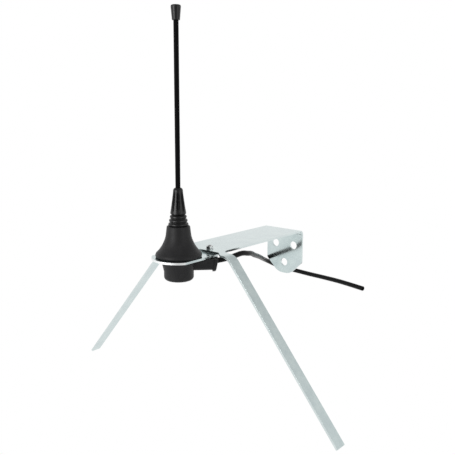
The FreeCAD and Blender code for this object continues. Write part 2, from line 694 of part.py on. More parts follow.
def make_hub():
    """Make the hub cover: a tapered cup that grips the clamp nut, with a trough for the cable."""
    body = new_body("hub_cover")
    bottom = "-sheet - hub_height"
    collar_foot = "-sheet - hub_collar"
    shell = new_sketch(body, "XZ_Plane")
    draw_outline(shell, [
        ("0", bottom),
        ("hub_radius - hub_round", bottom, 1, "hub_round"),
        ("hub_radius", f"{bottom} + hub_round"),
        ("hub_radius", collar_foot),
        ("hub_top", "-sheet"),
        ("0", "-sheet"),
    ])
    solid = body.newObject("PartDesign::Revolution", "Shell")
    solid.Profile = shell
    solid.ReferenceAxis = (shell, ["V_Axis"])
    solid.Angle = 360
    doc.recompute()

    lean = "tan(outlet_lean)"
    inner_end = "outlet_reach - lip_width"
    trough = new_sketch(body, "XZ_Plane")
    draw_outline(trough, [
        ("hub_radius / 2", OUTLET_FOOT),
        (f"outlet_reach - (outlet_depth - seat_clear) * {lean}", OUTLET_FOOT),
        ("outlet_reach", OUTLET_TOP),
        ("hub_radius / 2", OUTLET_TOP),
    ])
    pad(body, trough, "outlet_width", both_ways=True)

    def lower_side(edge):
        centre = edge.CenterOfMass
        return (runs_along(edge, X_AXIS) and near(centre.z, value_of(OUTLET_FOOT))
                and near(abs(centre.y), value_of("outlet_width / 2")))

    round_edges(body, "Fillet", "outlet_round", lower_side)

    bead_depth = "outlet_depth - seat_clear + lip_proud"
    bead = new_sketch(body, "XZ_Plane")
    draw_outline(bead, [
        (f"{inner_end} - ({bead_depth}) * {lean}", f"{OUTLET_FOOT} - lip_proud"),
        (f"outlet_reach - ({bead_depth}) * {lean}", f"{OUTLET_FOOT} - lip_proud"),
        ("outlet_reach", OUTLET_TOP),
        (inner_end, OUTLET_TOP),
    ])
    pad(body, bead, "outlet_width + 2 * lip_proud", both_ways=True)

    def bead_foot(edge):
        centre = edge.CenterOfMass
        return near(centre.z, value_of(f"{OUTLET_FOOT} - lip_proud")) and runs_along(edge, X_AXIS)

    round_edges(body, "Fillet", "outlet_round + lip_proud", bead_foot)

    tilt = math.radians(value_of("outlet_lean"))
    outward = FreeCAD.Vector(math.cos(tilt), 0, -math.sin(tilt))
    end_point = FreeCAD.Vector(value_of("outlet_reach"), 0, value_of(OUTLET_TOP))

    def bead_rim(edge):
        below_top = edge.BoundBox.ZMax < value_of(f"{OUTLET_TOP} - lip_soft")
        return below_top and near((edge.CenterOfMass - end_point).dot(outward), 0)

    round_edges(body, "Fillet", "lip_soft", bead_rim)

    before = body.Shape.Volume
    hollow = new_sketch(body, "XZ_Plane")
    draw_outline(hollow, [
        ("0", f"{bottom} + hub_wall"),
        ("hub_radius - hub_wall", f"{bottom} + hub_wall"),
        ("hub_radius - hub_wall", NUT_FOOT),
        ("0", NUT_FOOT),
    ])
    cavity = body.newObject("PartDesign::Groove", "Cavity")
    cavity.Profile = hollow
    cavity.ReferenceAxis = (hollow, ["V_Axis"])
    cavity.Angle = 360
    doc.recompute()
    if body.Shape.Volume >= before:
        raise RuntimeError("the hub's cavity removed nothing")

    socket = new_sketch(body, "XY_Plane", "-sheet")
    draw_outline(socket, [hex_corner("nut_flats + 2 * fit", index) for index in range(6)])
    cut(body, socket, f"-({NUT_FOOT}) - sheet")

    channel = new_sketch(body, "XZ_Plane")
    draw_outline(channel, [
        ("nut_flats / 2", f"{OUTLET_FOOT} + outlet_wall"),
        (f"{inner_end} - outlet_depth * {lean}", f"{OUTLET_FOOT} + outlet_wall"),
        (f"{inner_end} - outlet_depth * {lean}", "0"),
        ("nut_flats / 2", "0"),
    ])
    cut(body, channel, "outlet_width - 2 * outlet_wall", both_ways=True)
    notch = new_sketch(body, "YZ_Plane", f"{inner_end} - outlet_depth * {lean} - sheet")
    notch_radius = "cable_radius + slack"
    notch_level = f"{CABLE_LEVEL} - (lip_width + outlet_depth * {lean}) * tan(tail_slope)"
    draw_circle(notch, "0", notch_level, notch_radius)
    cut(body, notch, "outlet_reach", reverse=True)
    opening = new_sketch(body, "YZ_Plane", f"{inner_end} - outlet_depth * {lean} - sheet")
    draw_outline(opening, [
        (f"-({notch_radius})", "0"),
        (f"-({notch_radius})", notch_level),
        (notch_radius, notch_level),
        (notch_radius, "0"),
    ])
    cut(body, opening, "outlet_reach", reverse=True)
    on_whip_axis(body, turn="outlet_turn")


def make_cable_tail():
    """Make the cable's end inside the outlet: jacket, bared insulation and inner wire, in one line."""
    jacket = "(outlet_reach - bared_end)"
    pin_side = "(outlet_reach - pin_radius) / cos(tail_slope)"
    starts = ("0", jacket, f"{jacket} + core_length")
    lengths = (jacket, "core_length", f"{pin_side} - {jacket} - core_length - 2 * fit")
    radii = ("cable_radius", "core_thick", "wire_thick")
    slope = math.radians(value_of("tail_slope"))
    inward = FreeCAD.Vector(-math.cos(slope), 0, -math.sin(slope))
    direction = FreeCAD.Rotation(Z_AXIS, value_of("outlet_turn")).multVec(inward)
    for label, start, length, radius in zip(("cable_tail", "tail_core", "tail_wire"), starts, lengths, radii):
        rod = finished(doc.addObject("Part::Cylinder", "Rod_" + label), label)
        bind(rod, Radius=radius, Height=length)
        along = f"outlet_reach - ({start}) * cos(tail_slope)"
        down = f"({start}) * sin(tail_slope)"
        rod.Placement = FreeCAD.Placement(FreeCAD.Vector(), FreeCAD.Rotation(Z_AXIS, direction))
        place(rod, f"({along}) * cos(outlet_turn)", f"({along}) * sin(outlet_turn) - reach",
              f"{SEAT_TOP} + ({CABLE_LEVEL}) - ({down})")


def make_earth_screw():
    """Make the earth screw behind the step, with its washer and nut on top of the plate."""
    x, y = "screw_side", "screw_back - reach"
    end = "small_washer_height + small_nut_height + screw_end"
    screw = turned("earth_screw", [
        ("0", "-sheet - head_height"),
        ("screw_head", "-sheet - head_height"),
        ("screw_head", "-sheet"),
        ("screw_radius", "-sheet"),
        ("screw_radius", end),
        ("0", end),
    ])
    place(screw, x, y, "plate_rise")
    washer = ring("earth_washer", "screw_radius + fit", "small_washer", "0", "small_washer_height")
    place(washer, x, y, "plate_rise")
    hex_nut("earth_nut", "small_nut_flats", "screw_radius + fit", "small_nut_height", x, y,
            "plate_rise + small_washer_height", "outlet_turn")


def cable_points():
    """Return the free cable's route in the row frame, from its exit to its cut end."""
    turn = math.radians(value_of("outlet_turn"))
    out = value_of("outlet_reach")
    reach = value_of("reach")
    exit_point = FreeCAD.Vector(out * math.cos(turn), out * math.sin(turn) - reach,
                                value_of(f"{SEAT_TOP} + ({CABLE_LEVEL})"))
    rise = value_of("plate_rise")
    slope = math.radians(value_of("tail_slope"))
    ahead = FreeCAD.Vector(math.cos(turn) * math.cos(slope), math.sin(turn) * math.cos(slope), math.sin(slope))
    second_point = exit_point + ahead * value_of("first_run")
    rest = [FreeCAD.Vector(x, y - reach, z + rise) for x, y, z in CABLE_ROUTE]
    return [exit_point, second_point] + rest


def make_cable():
    """Make the free cable: a round section swept along straight runs joined by tangent arcs."""
    points = cable_points()
    edges = []
    start = points[0]
    for before, corner, after in zip(points, points[1:], points[2:]):
        back, ahead = before - corner, after - corner
        trim = ARC_SHARE * min(back.Length, ahead.Length)
        turn = math.pi - back.getAngle(ahead)
        radius = trim / math.tan(turn / 2)
        print(f"cable bend radius {radius:.1f}")
        back.normalize()
        ahead.normalize()
        first, last = corner + back * trim, corner + ahead * trim
        inward = (back + ahead).normalize()
        middle = corner + inward * (radius / math.cos(turn / 2) - radius)
        edges += [Part.LineSegment(start, first).toShape(), Part.Arc(first, middle, last).toShape()]
        start = last
    edges.append(Part.LineSegment(start, points[-1]).toShape())
    path = Part.Wire(edges)
    radius = value_of("cable_radius")
    section = Part.Wire(Part.Circle(points[0], points[1] - points[0], radius).toShape())
    solid = path.makePipeShell([section], True, True)
    expected = math.pi * radius ** 2 * path.Length
    print(f"cable length {path.Length:.1f}, volume {solid.Volume:.1f} against {expected:.1f}")
    cable = finished(doc.addObject("Part::Feature", "Cable"), "cable")
    cable.Shape = solid
    cable.Placement = FreeCAD.Placement()


def write_pieces():
    """Check every object, then write each sub-part's solid."""
    doc.recompute()
    for thing in doc.Objects:
        if "Invalid" in thing.State or "Error" in thing.State:
            raise RuntimeError(f"{thing.Label} is not sound: {thing.State}")
    for piece in pieces:
        if piece.Shape.isNull() or not piece.Shape.isValid() or not piece.Shape.Solids:
            raise RuntimeError(f"{piece.Label} has no sound solid")
    os.makedirs("parts", exist_ok=True)
    for piece in pieces:
        piece.Shape.exportStep(f"parts/{piece.Label}.step")
        box = piece.Shape.BoundBox
        print(f"{piece.Label}: {piece.Shape.Volume:.1f} mm3, {len(piece.Shape.Solids)} solid(s), "
              f"z {box.ZMin:.2f} to {box.ZMax:.2f}")


make_bracket()
make_bell()
make_boot()
make_whip()
make_feed()
make_hub()
make_cable_tail()
make_earth_screw()
make_cable()
write_pieces()
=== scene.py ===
"""Dressed scene of a quarter-wave radio antenna on a folded wall bracket.

The row frame has its origin at the centre of the wall holes, with +Y into the wall and +Z up.
Sizes are written in millimetres and turned into metres where a mesh is made.
"""

import logging
import math
from dataclasses import dataclass, field
from enum import Enum
from typing import Any, Mapping, Optional, Sequence, Union

import bmesh
import bpy
import numpy as np
from mathutils import Matrix, Vector


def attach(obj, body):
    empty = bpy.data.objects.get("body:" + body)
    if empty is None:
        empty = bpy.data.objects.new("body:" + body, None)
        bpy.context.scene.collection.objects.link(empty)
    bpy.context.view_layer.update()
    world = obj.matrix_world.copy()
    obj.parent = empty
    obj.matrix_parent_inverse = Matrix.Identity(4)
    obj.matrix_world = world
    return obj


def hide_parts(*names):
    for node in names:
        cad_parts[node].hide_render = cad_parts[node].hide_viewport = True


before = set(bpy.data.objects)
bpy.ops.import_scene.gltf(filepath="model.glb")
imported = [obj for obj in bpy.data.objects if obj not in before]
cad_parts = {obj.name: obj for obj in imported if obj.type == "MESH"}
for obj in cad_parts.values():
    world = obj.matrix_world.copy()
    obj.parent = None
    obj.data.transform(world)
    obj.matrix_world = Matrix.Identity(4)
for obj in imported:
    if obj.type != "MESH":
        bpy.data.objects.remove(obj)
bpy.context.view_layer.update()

LOG = logging.getLogger("antenna")
MM = 0.001
REACH = 135.0  # wall face to whip axis
PLATE_RISE = 20.3  # wall holes to the plate's top face
SEAT_RISE = 18.6  # wall holes to the seat's top face
SHEET = 1.6  # thickness of the bracket's sheet
BELL_HEIGHT = 22.7  # seat to the bell's shoulder
FIT = 0.05  # radial clearance of a close fit
# The cut faces' pale colour is partly the sheared metal's own tone and partly a painted highlight.
CUT_EDGE_HIGHLIGHT = "cut_edge_highlight"  # face attribute: 1 on bright cut faces, less on dull ones, 0 elsewhere
SAME_POINT = 1e-6  # millimetres under which two points of a profile are one
MERGE_DISTANCE = 1e-6  # metres under which two corners of a mesh are one
FLAT_DEGREES = 0.4  # triangles that turn by less than this lie in one plane
SOLID_SHARP_DEGREES = 30.0  # edges of a copied solid that stay sharp
EASED_DEGREES = 40.0  # edges of a copied solid that are eased
WHITE = (1.0, 1.0, 1.0, 1.0)

Number = Union[int, float]


class Turn(Enum):
    """Which way an arc of a profile bends."""

    LEFT = 1
    RIGHT = -1


class Shade:
    """One shader value that takes part in Python expressions; each operator adds a Math node."""

    def __init__(self, book: "NodeBook", socket: bpy.types.NodeSocket) -> None:
        """Keep the socket and the node book that it belongs to.

        Args:
            book: The material's node book.
            socket: The output socket that carries the value.
        """
        self.book = book
        self.socket = socket

    def _math(self, operation: str, first: Any, second: Any) -> "Shade":
        """Return the Math node of two values."""
        return self.book.node("ShaderNodeMath", {"operation": operation}, {0: first, 1: second})

    def __add__(self, other: Any) -> "Shade":
        """Return the sum."""
        return self._math("ADD", self, other)

    __radd__ = __add__

    def __sub__(self, other: Any) -> "Shade":
        """Return self less other."""
        return self._math("SUBTRACT", self, other)

    def __rsub__(self, other: Any) -> "Shade":
        """Return other less self."""
        return self._math("SUBTRACT", other, self)

    def __mul__(self, other: Any) -> "Shade":
        """Return the product."""
        return self._math("MULTIPLY", self, other)

    __rmul__ = __mul__

    def __truediv__(self, other: Any) -> "Shade":
        """Return self over other."""
        return self._math("DIVIDE", self, other)

    def __rtruediv__(self, other: Any) -> "Shade":
        """Return other over self."""
        return self._math("DIVIDE", other, self)

    def __pow__(self, other: Any) -> "Shade":
        """Return self to a power."""
        return self._math("POWER", self, other)

    def eased(self, low: Number, high: Number) -> "Shade":
        """Return 0 below low, 1 above high and a smooth step between them.

        Args:
            low: Value that gives 0.
            high: Value that gives 1.

        Returns:
            The eased value.
        """
        inputs = {"Value": self, "From Min": low, "From Max": high}
        return self.book.node("ShaderNodeMapRange", {"interpolation_type": "SMOOTHSTEP"}, inputs)


class NodeBook:
    """The node tree of one material or of the world."""

    def __init__(self, tree: bpy.types.NodeTree) -> None:
        """Start with an empty tree.

        Args:
            tree: The node tree to fill.
        """
        self.tree = tree
        tree.nodes.clear()

    def node(
        self,
        kind: str,
        settings: Optional[Mapping[str, Any]] = None,
        inputs: Optional[Mapping[Union[str, int], Any]] = None,
        output: Union[str, int] = 0,
    ) -> Shade:
        """Add a node, set it up, feed its sockets and return one of its outputs.

        Args:
            kind: The node's type.
            settings: The node's own settings, set first.
            inputs: Numbers, tuples or shades by socket identifier, name or place.
            output: Identifier, name or place of the output to return.

        Returns:
            The output as a shade.
        """
        made = self.tree.nodes.new(kind)
        for name, value in (settings or {}).items():
            setattr(made, name, value)
        for key, value in (inputs or {}).items():
            socket = self._socket(made.inputs, key)
            if isinstance(value, Shade):
                self.tree.links.new(value.socket, socket)
            else:
                socket.default_value = value
        outputs = made.outputs
        return Shade(self, self._socket(outputs, output) if len(outputs) else None)

    @staticmethod
    def _socket(sockets: Any, key: Union[str, int]) -> bpy.types.NodeSocket:
        """Return the socket with that place, identifier or name."""
        if isinstance(key, int):
            return sockets[key]
        return next((s for s in sockets if s.identifier == key), None) or sockets[key]

    def place(self, scale: Sequence[float] = (1, 1, 1)) -> Shade:
        """Return the point on the object, in metres, stretched by scale."""
        point = self.node("ShaderNodeTexCoord", output="Object")
        return self.node("ShaderNodeMapping", inputs={"Vector": point, "Scale": tuple(scale)})

    def noise(
        self, where: Shade, scale: float, detail: float = 3.0, roughness: float = 0.5
    ) -> Shade:
        """Return cloudy noise from 0 to 1.

        Args:
            where: The point that it is read at.
            scale: Clouds per metre.
            detail: Number of finer layers.
            roughness: Weight of the finer layers.

        Returns:
            The noise value.
        """
        inputs = {"Vector": where, "Scale": scale, "Detail": detail, "Roughness": roughness}
        return self.node("ShaderNodeTexNoise", {"noise_dimensions": "3D"}, inputs, "Fac")

    def blend(self, share: Shade, first: Any, second: Any) -> Shade:
        """Return a colour between first and second."""
        colours = {"A_Color": self._colour(first), "B_Color": self._colour(second)}
        inputs = {"Factor_Float": share, **colours}
        return self.node("ShaderNodeMix", {"data_type": "RGBA"}, inputs, "Result_Color")

    @staticmethod
    def _colour(value: Any) -> Any:
        """Return a colour with its alpha, or the shade as it is."""
        return value if isinstance(value, Shade) else (*value, 1.0)

    def bump(self, height: Shade, depth_mm: float, strength: float = 1.0) -> Shade:
        """Return the normal that a height from 0 to 1 gives.

        Args:
            height: The height.
            depth_mm: Depth of the relief.
            strength: Share of it that shows.

        Returns:
            The bumped normal.
        """
        inputs = {"Height": height, "Distance": depth_mm * MM, "Strength": strength}
        return self.node("ShaderNodeBump", inputs=inputs)

    def surface(self, inputs: Mapping[str, Any]) -> None:
        """Close the tree with a Principled surface.

        Args:
            inputs: Numbers or shades for its sockets.
        """
        shader = self.node("ShaderNodeBsdfPrincipled", inputs=inputs)
        self.node("ShaderNodeOutputMaterial", inputs={"Surface": shader})


@dataclass(frozen=True)
class Finish:
    """A surface finish: its name, the record's slot that it belongs to, and its base colour."""

    name: str
    slot: str
    colour: tuple

    def material(self) -> bpy.types.Material:
        """Return the finish's material, made once."""
        made = bpy.data.materials.get(self.name)
        if made is None:
            made = bpy.data.materials.new(self.name)
            made.use_nodes = True
            self.paint(NodeBook(made.node_tree))
        return made

    def paint(self, book: NodeBook) -> None:
        """Fill the material's nodes; each kind of finish has its own way."""
        raise NotImplementedError


@dataclass(frozen=True)
class ZincFinish(Finish):
    """Zinc plating over rolled sheet: cloudy passivation, grain, scuffs and pale cut edges, their
    paleness partly a painted highlight.
    """

    shade: tuple = (0.55, 0.63, 0.635)
    # pale colour of the cut faces: partly their own sheared tone, partly a painted highlight
    cut: tuple = (0.88, 0.90, 0.90)
    smooth: float = 0.12
    rough: float = 0.21
    cut_rough: float = 0.45
    clouds_per_metre: float = 90.0
    patches_per_metre: float = 320.0
    grain_per_metre: float = 2600.0
    scuffs_per_metre: float = 420.0
    grain_stretch: tuple = (0.35, 1.0, 1.0)
    scuff_stretch: tuple = (1.0, 6.0, 1.0)
    scuff_limits: tuple = (0.62, 0.72)
    cloud_limits: tuple = (0.36, 0.66)
    scuff_dulling: float = 0.08
    relief_mm: float = 0.003
    relief_share: float = 0.5

    def paint(self, book: NodeBook) -> None:
        """Mix two cloud sizes into the colour and grain into the gloss. Make the cut edges rougher
        and paler; the paleness is partly a painted highlight.
        """
        point = book.place()
        clouds = book.noise(point, self.clouds_per_metre, 4.0, 0.6)
        patches = book.noise(point, self.patches_per_metre, 3.0, 0.55)
        grain = book.noise(book.place(self.grain_stretch), self.grain_per_metre, 2.0)
        scuffs = book.noise(book.place(self.scuff_stretch), self.scuffs_per_metre, 5.0, 0.7)
        worn = scuffs.eased(*self.scuff_limits) * self.scuff_dulling
        share = (clouds * 0.6 + patches * 0.4).eased(*self.cloud_limits)
        cut = book.node("ShaderNodeAttribute", {"attribute_name": CUT_EDGE_HIGHLIGHT}, output="Fac")
        uneven = share * 0.5 + grain * 0.5
        rolled = self.smooth + (self.rough - self.smooth) * uneven + worn
        book.surface({
            # the cut faces' pale colour is partly a painted highlight
            "Base Color": book.blend(cut, book.blend(share, self.shade, self.colour), self.cut),
            "Metallic": 1.0,
            "Roughness": rolled + cut * (self.cut_rough - rolled),
            "Normal": book.bump(grain * 0.7 + patches * 0.3, self.relief_mm, self.relief_share),
        })


@dataclass(frozen=True)
class MouldedFinish(Finish):
    """Moulded plastic or rubber: fine mould grain and slightly uneven gloss."""

    dust: tuple = (0.018, 0.018, 0.019)
    smooth: float = 0.40
    rough: float = 0.54
    clouds_per_metre: float = 160.0
    grain_per_metre: float = 3200.0
    cloud_limits: tuple = (0.4, 0.75)
    relief_mm: float = 0.02
    relief_share: float = 0.6
    shine: float = 0.4

    def paint(self, book: NodeBook) -> None:
        """Vary colour and gloss by clouds, and press the mould's grain into the surface."""
        point = book.place()
        clouds = book.noise(point, self.clouds_per_metre, 4.0, 0.6)
        grain = book.noise(point, self.grain_per_metre, 2.0)
        share = clouds.eased(*self.cloud_limits)
        uneven = clouds * 0.6 + grain * 0.4
        book.surface({
            "Base Color": book.blend(share * 0.6 + grain * 0.3, self.colour, self.dust),
            "Roughness": self.smooth + (self.rough - self.smooth) * uneven,
            "Specular IOR Level": self.shine,
            "Normal": book.bump(grain, self.relief_mm, self.relief_share),
        })


@dataclass(frozen=True)
class TurnedFinish(Finish):
    """Turned or drawn metal: fine rings about the upright axis."""

    smooth: float = 0.22
    rough: float = 0.40
    dull_share: float = 0.8
    rings_per_metre: float = 5200.0
    ring_stretch: tuple = (0.05, 0.05, 1.0)
    clouds_per_metre: float = 500.0
    cloud_limits: tuple = (0.35, 0.7)
    relief_mm: float = 0.008
    relief_share: float = 0.5

    def paint(self, book: NodeBook) -> None:
        """Feed noise that is drawn out round the axis to the roughness and the relief."""
        rings = book.noise(book.place(self.ring_stretch), self.rings_per_metre, 2.0)
        clouds = book.noise(book.place(), self.clouds_per_metre, 3.0)
        dull = tuple(self.dull_share * part for part in self.colour)
        uneven = rings * 0.6 + clouds * 0.4
        book.surface({
            "Base Color": book.blend(clouds.eased(*self.cloud_limits), dull, self.colour),
            "Metallic": 1.0,
            "Roughness": self.smooth + (self.rough - self.smooth) * uneven,
            "Normal": book.bump(rings, self.relief_mm, self.relief_share),
        })


ZINC = ZincFinish("zinc_plating", "zinc_sheet", (0.62, 0.705, 0.70))
MOULDED = MouldedFinish(
    "black_moulding_finish",
    "black_moulding",
    (0.015, 0.015, 0.0157),
    dust=(0.028, 0.028, 0.029),
    shine=0.2,
)
RUBBER = MouldedFinish(
    "black_rubber_finish",
    "black_rubber",
    (0.004, 0.004, 0.0043),
    dust=(0.01, 0.01, 0.0105),
    smooth=0.25,
    rough=0.35,
    shine=0.32,
)
SLEEVE = MouldedFinish(
    "black_sleeve_finish",
    "black_sleeve",
    (0.004, 0.004, 0.0043),
    dust=(0.006, 0.006, 0.0064),
    relief_mm=0.01,
    shine=0.03,
)
JACKET = MouldedFinish(
    "cable_jacket_finish",
    "cable_jacket",
    (0.004, 0.004, 0.0043),
    dust=(0.008, 0.008, 0.0085),
    smooth=0.30,
    rough=0.42,
    relief_mm=0.01,
    shine=0.12,
)
STEEL = TurnedFinish("bright_steel_finish", "bright_steel", (0.66, 0.68, 0.68))
BRASS = TurnedFinish("brass_finish", "brass_metal", (0.72, 0.56, 0.27))
INSULATION = MouldedFinish(
    "white_insulation_finish", "white_insulation", (0.80, 0.80, 0.77), dust=(0.86, 0.86, 0.84)
)


def path(*points: Sequence[float]) -> np.ndarray:
    """Return straight runs from corner to corner.

    Args:
        points: The corners, (radius, height).

    Returns:
        The corners, one a row.
    """
    return np.array(points, float)


def line(start: Sequence[float], end: Sequence[float], count: int) -> np.ndarray:
    """Return points on a straight run: p(t) = start + t (end - start).

    Args:
        start: First point, (radius, height).
        end: Last point.
        count: Number of points.

    Returns:
        The points, one a row.
    """
    return np.linspace(start, end, count)


def arc(
    start: Sequence[float], end: Sequence[float], radius: float, turn: Turn, count: int
) -> np.ndarray:
    """Return points on the short arc of a circle: p(t) = centre + radius (cos a(t), sin a(t)).

    Args:
        start: First point, (radius, height).
        end: Last point.
        radius: Radius of the circle.
        turn: Which way the arc bends.
        count: Number of points.

    Returns:
        The points, one a row.
    """
    first, last = np.asarray(start, float), np.asarray(end, float)
    chord = last - first
    span = np.hypot(*chord)
    rise = math.sqrt(max(radius ** 2 - (span / 2) ** 2, 0.0))
    centre = (first + last) / 2 + np.array([-chord[1], chord[0]]) / span * rise * turn.value
    begin = math.atan2(*(first - centre)[::-1])
    sweep = 2 * math.asin(min(span / 2 / radius, 1.0)) * turn.value
    angle = begin + sweep * np.linspace(0, 1, count)
    return centre + radius * np.stack([np.cos(angle), np.sin(angle)], axis=1)


def chained(*runs: np.ndarray) -> np.ndarray:
    """Join runs of a profile into one, leaving out points that repeat.

    Args:
        runs: The runs, in order.

    Returns:
        The joined profile.
    """
    points = np.concatenate(runs)
    step = np.hypot(*np.diff(points, axis=0).T)
    return points[np.concatenate([[True], step > SAME_POINT])]


def turned_grid(profile: np.ndarray, sectors: int, base: Sequence[float]) -> np.ndarray:
    """Return a profile turned about an upright axis: p(i, a) = base + (r_i cos a, r_i sin a, z_i).

    Args:
        profile: Rows of (radius, height) in millimetres.
        sectors: Number of sectors round the axis.
        base: Foot of the axis in millimetres.

    Returns:
        The grid of points, rows by sectors by three.
    """
    angle = np.linspace(0, 2 * np.pi, sectors, endpoint=False)
    radius, height = profile[:, :1], profile[:, 1:]
    grid = np.stack([radius * np.cos(angle), radius * np.sin(angle), height + 0 * angle], axis=2)
    return grid + np.asarray(base, float)


def polar(grid: np.ndarray) -> tuple:
    """Return the radius and the angle of a grid's points about the upright axis.

    Args:
        grid: Points, rows by columns by three.

    Returns:
        The radii and the angles, rows by columns each.
    """
    return np.hypot(grid[..., 0], grid[..., 1]), np.arctan2(grid[..., 1], grid[..., 0])


def grid_faces(rows: int, columns: int, closed_rows: bool) -> np.ndarray:
    """Return the quads of a grid whose columns close on themselves.

    Args:
        rows: Number of rows.
        columns: Number of columns.
        closed_rows: Whether the last row joins the first.

    Returns:
        Four corner numbers a row.
    """
    row = np.arange(rows if closed_rows else rows - 1)[:, None]
    column = np.arange(columns)[None, :]
    after_row, after_column = (row + 1) % rows, (column + 1) % columns
    corners = [(row, column), (row, after_column), (after_row, after_column), (after_row, column)]
    return np.stack([(r * columns + c + 0 * row + 0 * column).ravel() for r, c in corners], axis=1)


def skinned(
    name: str, grid: np.ndarray, closed_rows: bool, sharp_degrees: float = 40.0
) -> bpy.types.Object:
    """Make an object from a grid in millimetres, with poles merged and normals outwards.

    Args:
        name: Name of the new piece.
        grid: Points, rows by columns by three.
        closed_rows: Whether the last row joins the first.
        sharp_degrees: Edges that turn by more than this stay sharp.

    Returns:
        The new object, at the origin.
    """
    rows, columns = grid.shape[:2]
    mesh = bpy.data.meshes.new(name)
    points = grid.reshape(-1, 3) * MM
    mesh.from_pydata(points.tolist(), [], grid_faces(rows, columns, closed_rows).tolist())
    return settled(name, mesh, sharp_degrees)


def settled(
    name: str, mesh: bpy.types.Mesh, sharp_degrees: float, flatten: bool = False
) -> bpy.types.Object:
    """Merge a mesh's doubles, shade it smooth between sharp edges and link it as an object.

    Args:
        name: Name of the object.
        mesh: The mesh to finish.
        sharp_degrees: Edges that turn by more than this stay sharp.
        flatten: Whether triangles in one plane are joined into larger faces.

    Returns:
        The new object, at the origin.
    """
    work = bmesh.new()
    work.from_mesh(mesh)
    bmesh.ops.remove_doubles(work, verts=work.verts, dist=MERGE_DISTANCE)
    if flatten:
        limit = math.radians(FLAT_DEGREES)
        bmesh.ops.dissolve_limit(work, angle_limit=limit, verts=work.verts, edges=work.edges)
    bmesh.ops.recalc_face_normals(work, faces=work.faces)
    work.to_mesh(mesh)
    work.free()
    mesh.shade_smooth()
    mesh.set_sharp_from_angle(angle=math.radians(sharp_degrees))
    made = bpy.data.objects.new(name, mesh)
    bpy.context.scene.collection.objects.link(made)
    return made


def eased_copy(node: str, name: str, edge_mm: float) -> bpy.types.Object:
    """Copy a CAD node and ease its edges with a narrow bevel.

    Args:
        node: Name of the CAD node.
        name: Name of the new piece.
        edge_mm: Width of the bevel.

    Returns:
        The new object, at the origin.
    """
    made = settled(name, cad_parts[node].data.copy(), SOLID_SHARP_DEGREES, flatten=True)
    bevel = made.modifiers.new("eased_edges", "BEVEL")
    bevel.width = edge_mm * MM
    bevel.segments = 2
    bevel.limit_method = "ANGLE"
    bevel.angle_limit = math.radians(EASED_DEGREES)
    bevel.harden_normals = True
    return made


def read_array(items: Any, name: str, width: int, kind: type = np.float32) -> np.ndarray:
    """Read one property of a mesh's items as an array.

    Args:
        items: The mesh's vertices, edges, loops or polygons.
        name: Name of the property.
        width: Values in each item.
        kind: Number type of the values.

    Returns:
        The values, one item a row.
    """
    values = np.empty(len(items) * width, kind)
    items.foreach_get(name, values)
    return values.reshape(-1, width)


def dressed(piece: bpy.types.Object, finish: Finish) -> bpy.types.Object:
    """Give a piece one finish in place of what it has.

    Args:
        piece: The object to dress.
        finish: Its finish.

    Returns:
        The same object.
    """
    piece.data.materials.clear()
    piece.data.materials.append(finish.material())
    return piece


def seated(piece: bpy.types.Object, finish: Finish, *nodes: str) -> bpy.types.Object:
    """Dress a new piece, fix it to the part and let it stand for CAD nodes.

    Args:
        piece: The new object.
        finish: Its finish.
        nodes: CAD nodes that it replaces.

    Returns:
        The same object.
    """
    dressed(piece, finish)
    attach(piece, "root")
    if nodes:
        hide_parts(*nodes)
    LOG.info("%s: %d faces", piece.name, len(getattr(piece.data, "polygons", ())))
    return piece


